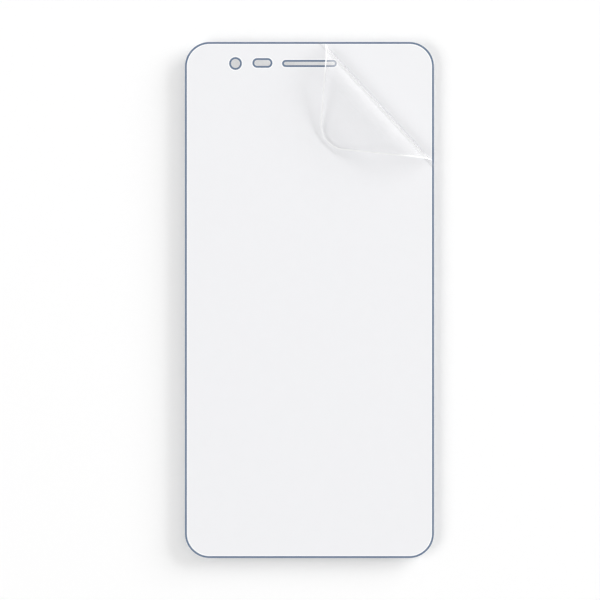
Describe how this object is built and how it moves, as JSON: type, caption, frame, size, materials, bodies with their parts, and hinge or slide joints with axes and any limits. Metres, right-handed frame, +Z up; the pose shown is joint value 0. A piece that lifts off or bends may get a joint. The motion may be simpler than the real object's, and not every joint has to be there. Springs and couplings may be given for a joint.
{
  "type": "phone screen protector",
  "caption": "Thin clear film cut to a phone's front, with camera, sensor and earpiece cut-outs, under a clear cover film whose corner is peeled back.",
  "frame": {"origin": "middle of the protector film's adhesive face, on the surface that it lies on", "axes": "+X to the right seen from above, +Y along the length towards the earpiece slot, +Z up out of the sheet"},
  "size_m": [0.0685, 0.142, 0.0039],
  "materials": {
    "protector": "clear film with a fine satin surface and a slate-blue line along its edges",
    "cover": "clear glossy film with pale cut edges"
  },
  "bodies": {
    "root": {"protector_film": "protector", "cover_film": "cover"}
  },
  "joints": []
}
